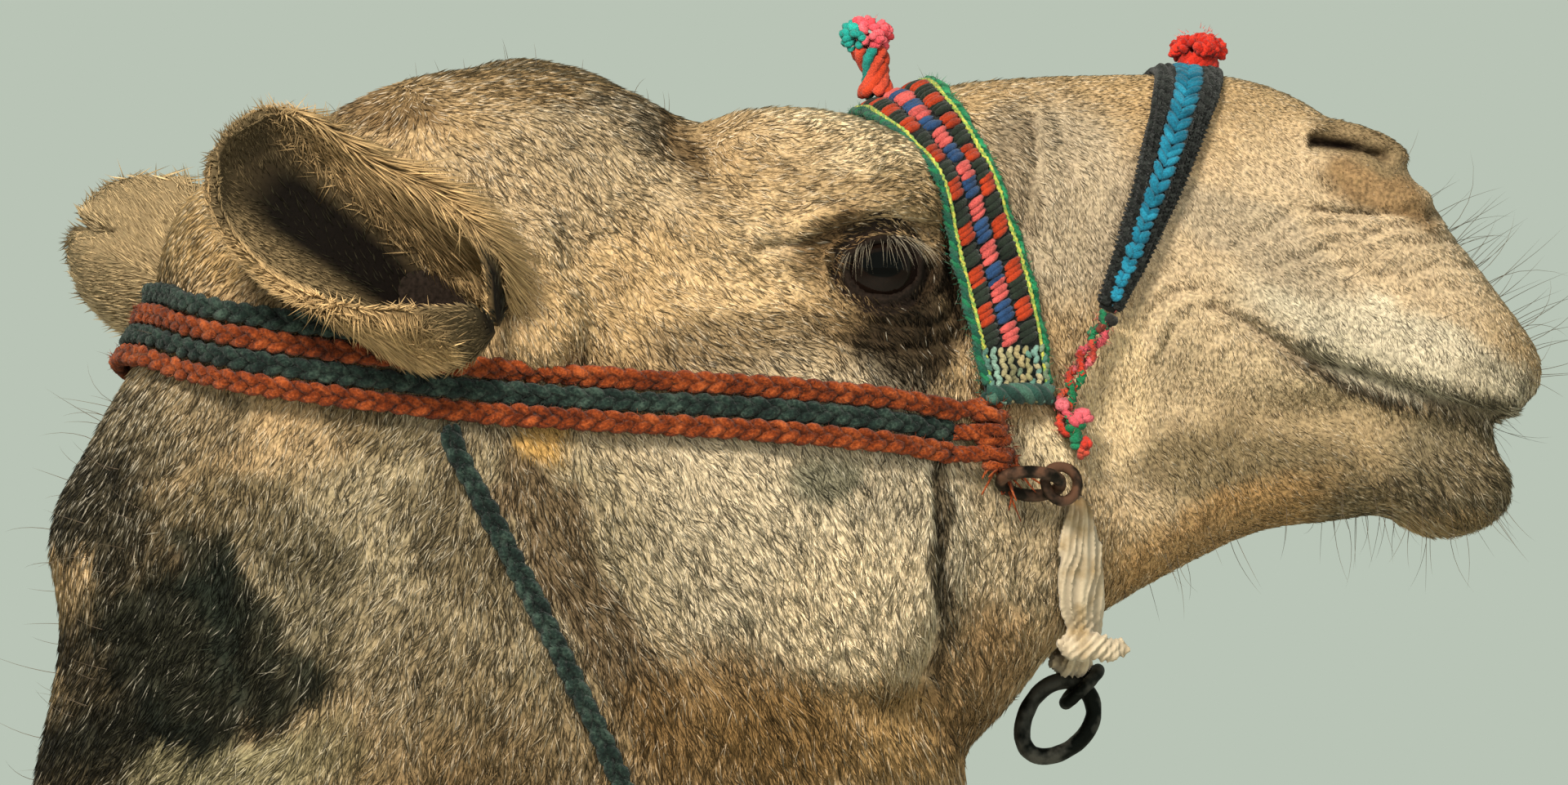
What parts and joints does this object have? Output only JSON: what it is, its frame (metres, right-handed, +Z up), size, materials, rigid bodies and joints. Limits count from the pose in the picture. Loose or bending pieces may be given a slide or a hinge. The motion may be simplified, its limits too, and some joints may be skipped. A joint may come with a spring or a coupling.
{
  "type": "dromedary camel",
  "caption": "Life-size still dromedary camel, standing with its neck raised, wearing a rope halter with woven bands, tassels and iron rings.",
  "frame": {"origin": "on the floor, below the middle of the whole animal", "axes": "+X forwards, from tail to head; +Y to the animal's left; +Z up"},
  "size_m": [2.6472, 0.595, 2.3453],
  "materials": {
    "coat": "short matted hair on hide",
    "tail_hair": "coarse dark hair",
    "callus": "bare thick skin",
    "ear": "thin hairy skin",
    "eye": "wet and dark",
    "horn": "dull horn",
    "rust_wool": "plaited wool",
    "teal_wool": "plaited wool",
    "check_wool": "woven in checks",
    "black_wool": "woven with a blue plait along its middle",
    "red_wool": "cut pile",
    "pink_wool": "twisted and cut wool",
    "white_cloth": "smooth wound cloth",
    "iron": "worn and rusty"
  },
  "bodies": {
    "root": {"head": "coat", "lower_jaw": "coat", "neck_upper": "coat", "neck_lower": "coat", "chest": "coat", "barrel": "coat", "rump": "coat", "hump": "coat", "tail": "coat", "foreleg_upper_left": "coat", "foreleg_upper_right": "coat", "foreleg_lower_left": "coat", "foreleg_lower_right": "coat", "foreleg_foot_left": "coat", "foreleg_foot_right": "coat", "hindleg_upper_left": "coat", "hindleg_upper_right": "coat", "hindleg_lower_left": "coat", "hindleg_lower_right": "coat", "hindleg_foot_left": "coat", "hindleg_foot_right": "coat", "tail_tuft": "tail_hair", "chest_pad": "callus", "ear_left": "ear", "eye_left": "eye", "lashing_left": "rust_wool", "cord_left": "pink_wool", "ring_left": "iron", "hook_left": "iron", "nail_fore_left_inner": "horn", "nail_fore_left_outer": "horn", "nail_hind_left_inner": "horn", "nail_hind_left_outer": "horn", "ear_right": "ear", "eye_right": "eye", "lashing_right": "rust_wool", "cord_right": "pink_wool", "ring_right": "iron", "hook_right": "iron", "nail_fore_right_inner": "horn", "nail_fore_right_outer": "horn", "nail_hind_right_inner": "horn", "nail_hind_right_outer": "horn", "rope_rust_upper": "rust_wool", "rope_rust_lower": "rust_wool", "rope_teal_middle": "teal_wool", "rope_teal_crown": "teal_wool", "rope_throat": "teal_wool", "brow_band": "check_wool", "nose_band": "black_wool", "chin_wrap": "white_cloth", "swivel": "iron", "lead_ring": "iron", "tassel_brow": "pink_wool", "tassel_nose": "red_wool"}
  },
  "joints": []
}
